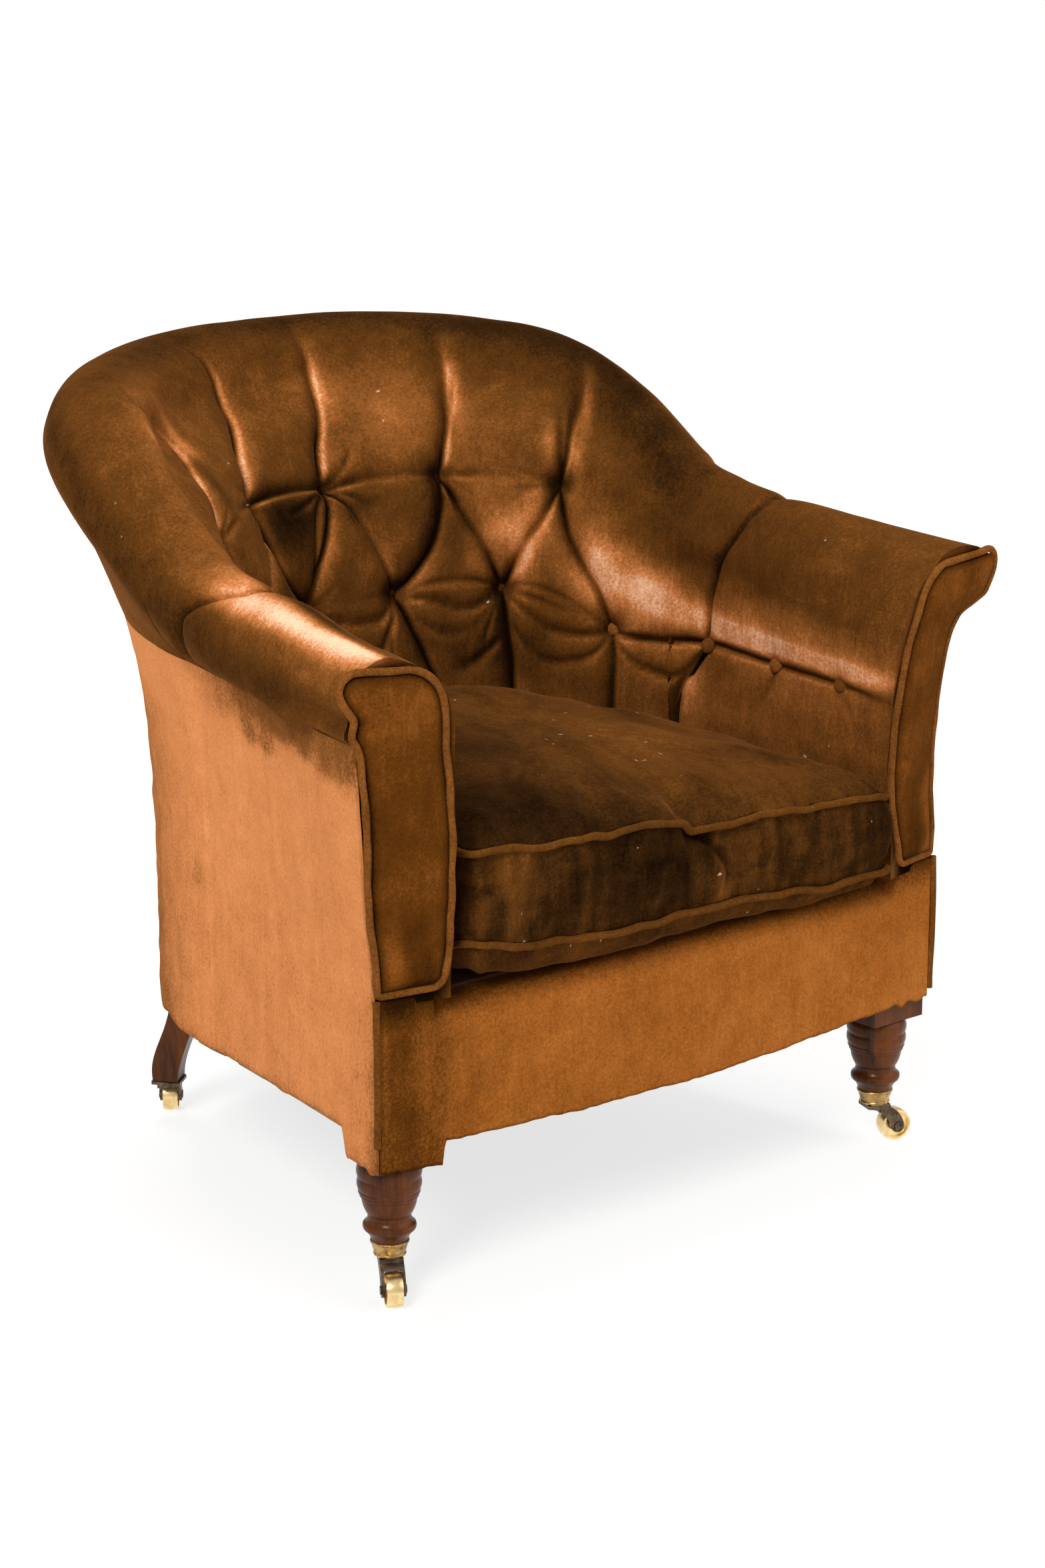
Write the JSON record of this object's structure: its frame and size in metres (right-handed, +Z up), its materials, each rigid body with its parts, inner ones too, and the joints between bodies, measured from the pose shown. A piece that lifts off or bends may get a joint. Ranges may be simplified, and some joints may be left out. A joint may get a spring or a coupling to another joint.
{
  "type": "tub chair",
  "caption": "Low upholstered tub chair with a buttoned curved back, rolled arms, a loose seat cushion, turned front legs, raked rear legs and castors.",
  "frame": {"origin": "on the floor, midway between the two front corners of the seat's hem", "axes": "+Z up, the chair's front faces -Y, +X to the right when looking at the back from the front"},
  "size_m": [0.812, 0.7577, 0.7872],
  "materials": {
    "velvet_outside": "matte",
    "velvet_border": "matte",
    "velvet_inside": "matte",
    "velvet_cushion": "matte",
    "piping": "matte",
    "buttons": "matte",
    "leg_wood": "gloss",
    "frame_wood": "matte",
    "webbing": "matte",
    "spring_steel": "satin",
    "canvas": "matte",
    "dust_cloth": "matte",
    "castor_brass": "satin",
    "axle_iron": "satin",
    "wheel_brass": "satin"
  },
  "bodies": {
    "chair_frame": {"outside_arm_cover_right": "velvet_outside", "outside_arm_cover_left": "velvet_outside", "outside_back_cover": "velvet_outside", "front_border": "velvet_border", "facing_cover_right": "velvet_outside", "facing_cover_left": "velvet_outside", "arm_pad_right": "velvet_inside", "arm_pad_left": "velvet_inside", "back_pad": "velvet_inside", "facing_piping_right": "piping", "facing_piping_left": "piping", "corner_piping_right": "piping", "corner_piping_left": "piping", "tuft_buttons": "buttons", "front_leg_right": "leg_wood", "front_leg_left": "leg_wood", "rear_leg_right": "leg_wood", "rear_leg_left": "leg_wood", "side_seat_rail_right": "frame_wood", "side_seat_rail_left": "frame_wood", "back_seat_rail": "frame_wood", "front_seat_rail": "frame_wood", "corner_blocks": "frame_wood", "stuffing_rail_right": "frame_wood", "stuffing_rail_left": "frame_wood", "stuffing_rail_back": "frame_wood", "arm_post_right": "frame_wood", "arm_post_left": "frame_wood", "arm_rail_right": "frame_wood", "arm_rail_left": "frame_wood", "back_tub_rail": "frame_wood", "crest_rail": "frame_wood", "facing_board_right": "frame_wood", "facing_board_left": "frame_wood", "seat_webbing": "webbing", "seat_springs": "spring_steel", "spring_canvas": "canvas", "seat_deck": "canvas", "dust_cloth": "dust_cloth", "castor_cup_front_right": "castor_brass", "castor_cup_front_left": "castor_brass", "castor_plate_rear_right": "castor_brass", "castor_plate_rear_left": "castor_brass"},
    "loose_cushion": {"seat_cushion": "velvet_cushion", "cushion_piping": "piping"},
    "castor_front_right": {"castor_horn_front_right": "castor_brass", "castor_axle_front_right": "axle_iron"},
    "wheel_front_right": {"castor_wheel_front_right": "wheel_brass"},
    "castor_front_left": {"castor_horn_front_left": "castor_brass", "castor_axle_front_left": "axle_iron"},
    "wheel_front_left": {"castor_wheel_front_left": "wheel_brass"},
    "castor_rear_right": {"castor_horn_rear_right": "castor_brass", "castor_axle_rear_right": "axle_iron"},
    "wheel_rear_right": {"castor_wheel_rear_right": "wheel_brass"},
    "castor_rear_left": {"castor_horn_rear_left": "castor_brass", "castor_axle_rear_left": "axle_iron"},
    "wheel_rear_left": {"castor_wheel_rear_left": "wheel_brass"}
  },
  "joints": [
    {"name": "cushion_lift", "type": "slide", "parent": "chair_frame", "child": "loose_cushion", "axis": [0, 0, 1], "range_m": [0, 0.5]},
    {"name": "castor_swivel_front_right", "type": "hinge", "parent": "chair_frame", "child": "castor_front_right", "pos_m": [0.31, 0.034, 0.04], "axis": [0, 0, 1], "continuous": true},
    {"name": "wheel_roll_front_right", "type": "hinge", "parent": "castor_front_right", "child": "wheel_front_right", "pos_m": [0.33098, 0.02738, 0.0163], "axis": [0.3011, 0.9536, 0], "continuous": true},
    {"name": "castor_swivel_front_left", "type": "hinge", "parent": "chair_frame", "child": "castor_front_left", "pos_m": [-0.31, 0.034, 0.04], "axis": [0, 0, 1], "continuous": true},
    {"name": "wheel_roll_front_left", "type": "hinge", "parent": "castor_front_left", "child": "wheel_front_left", "pos_m": [-0.32115, 0.01504, 0.0163], "axis": [0.8619, -0.507, 0], "continuous": true},
    {"name": "castor_swivel_rear_right", "type": "hinge", "parent": "chair_frame", "child": "castor_rear_right", "pos_m": [0.1936, 0.54648, 0.04], "axis": [0, 0, 1], "continuous": true},
    {"name": "wheel_roll_rear_right", "type": "hinge", "parent": "castor_rear_right", "child": "wheel_rear_right", "pos_m": [0.20397, 0.56588, 0.0163], "axis": [-0.8821, 0.4711, 0], "continuous": true},
    {"name": "castor_swivel_rear_left", "type": "hinge", "parent": "chair_frame", "child": "castor_rear_left", "pos_m": [-0.1936, 0.54648, 0.04], "axis": [0, 0, 1], "continuous": true},
    {"name": "wheel_roll_rear_left", "type": "hinge", "parent": "castor_rear_left", "child": "wheel_rear_left", "pos_m": [-0.17954, 0.5634, 0.0163], "axis": [-0.769, 0.6392, 0], "continuous": true}
  ]
}
